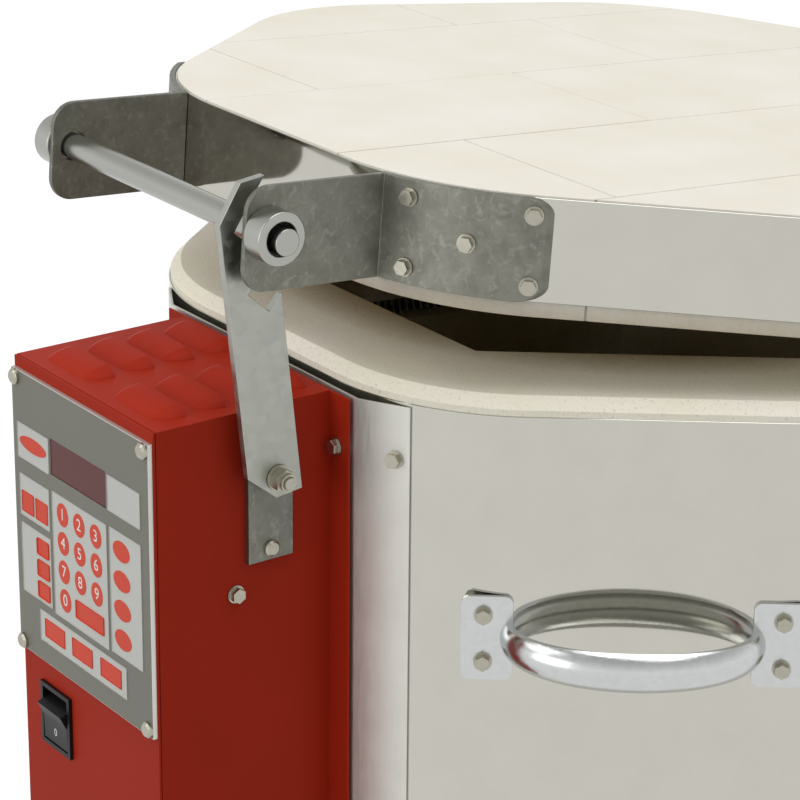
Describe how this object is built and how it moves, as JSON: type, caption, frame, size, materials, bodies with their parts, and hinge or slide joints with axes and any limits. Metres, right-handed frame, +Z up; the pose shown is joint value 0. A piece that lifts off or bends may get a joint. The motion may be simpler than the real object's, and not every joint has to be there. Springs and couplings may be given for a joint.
{
  "type": "ceramic kiln",
  "caption": "Top-loading electric ceramic kiln: seven-sided brick chamber in a steel jacket on legs, with a hinged brick lid held open by a notched prop arm and a louvred control box.",
  "frame": {"origin": "middle of the footprint in X and Y, at floor level under the feet", "axes": "+Z up; the control box and the lid's lifting rod face -Y; the lid's hinge is at +Y; the prop arm is on the +X side of the box"},
  "size_m": [0.4962, 0.6928, 0.7123],
  "materials": {
    "firebrick": "insulating firebrick, matt and porous",
    "stainless": "polished stainless sheet",
    "mill_steel": "dark mill finish",
    "zinc_steel": "bright zinc plate",
    "stand_steel": "black paint",
    "plate_steel": "stainless sheet",
    "red_enamel": "red powder coat",
    "overlay_film": "printed membrane overlay",
    "display_window": "dark red window",
    "black_plastic": "moulded black",
    "circuit_board": "green laminate",
    "board_spacers": "moulded white",
    "transformer": "laminated core, varnished",
    "element_wire": "oxidised heating wire",
    "brass": "plain",
    "sheath": "smooth ceramic sheath"
  },
  "bodies": {
    "body": {"course_top": "firebrick", "course_middle": "firebrick", "course_bottom": "firebrick", "floor_slab": "firebrick", "jacket": "stainless", "floor_pan": "stainless", "prop_strap": "mill_steel", "hinge_ear_right": "mill_steel", "hinge_ear_left": "mill_steel", "pivot_bolt": "zinc_steel", "pivot_hardware": "zinc_steel", "hinge_pin": "zinc_steel", "pin_collars": "zinc_steel", "body_handle_right": "zinc_steel", "body_handle_left": "zinc_steel", "wing_screws": "zinc_steel", "box_screws": "zinc_steel", "strap_screws": "zinc_steel", "overlay_screws": "zinc_steel", "handle_screws": "zinc_steel", "hinge_ear_screws": "zinc_steel", "box_spacers": "zinc_steel", "stand_ring": "stand_steel", "stand_legs": "stand_steel", "mounting_plate": "plate_steel", "box_back": "red_enamel", "box_shell": "red_enamel", "front_panel": "red_enamel", "control_overlay": "overlay_film", "display_window": "display_window", "switch_bezel": "black_plastic", "stand_feet": "black_plastic", "cord_gland": "black_plastic", "relays": "black_plastic", "terminal_block": "black_plastic", "controller_board": "circuit_board", "board_spacers": "board_spacers", "transformer": "transformer", "element_1": "element_wire", "element_2": "element_wire", "element_3": "element_wire", "element_4": "element_wire", "element_5": "element_wire", "element_6": "element_wire", "element_connectors": "brass", "thermocouple": "sheath"},
    "lid": {"lid_bricks": "firebrick", "lid_band": "stainless", "front_bracket_right": "mill_steel", "front_bracket_left": "mill_steel", "bracket_screws": "zinc_steel", "handle_rod": "zinc_steel", "rod_collars": "zinc_steel", "hinge_arm_right": "mill_steel", "hinge_arm_left": "mill_steel", "hinge_arm_screws": "zinc_steel"},
    "prop_arm": {"prop_arm": "zinc_steel"},
    "switch_rocker": {"switch_rocker": "black_plastic"}
  },
  "joints": [
    {"name": "lid_hinge", "type": "hinge", "parent": "body", "child": "lid", "pos_m": [0, 0.33315, 0.6004], "axis": [-1, 0, 0], "range_deg": [0, 78]},
    {"name": "prop_arm_pivot", "type": "hinge", "parent": "body", "child": "prop_arm", "pos_m": [0.0745, -0.28035, 0.5644], "axis": [1, 0, 0], "range_deg": [0, 165]},
    {"name": "switch_rocker", "type": "hinge", "parent": "body", "child": "switch_rocker", "pos_m": [-0.032, -0.3364, 0.4114], "axis": [1, 0, 0], "range_deg": [-20, 0]}
  ],
  "couplings": [
    {"joint": "prop_arm_pivot", "follows": "lid_hinge", "ratio": 2.1}
  ]
}
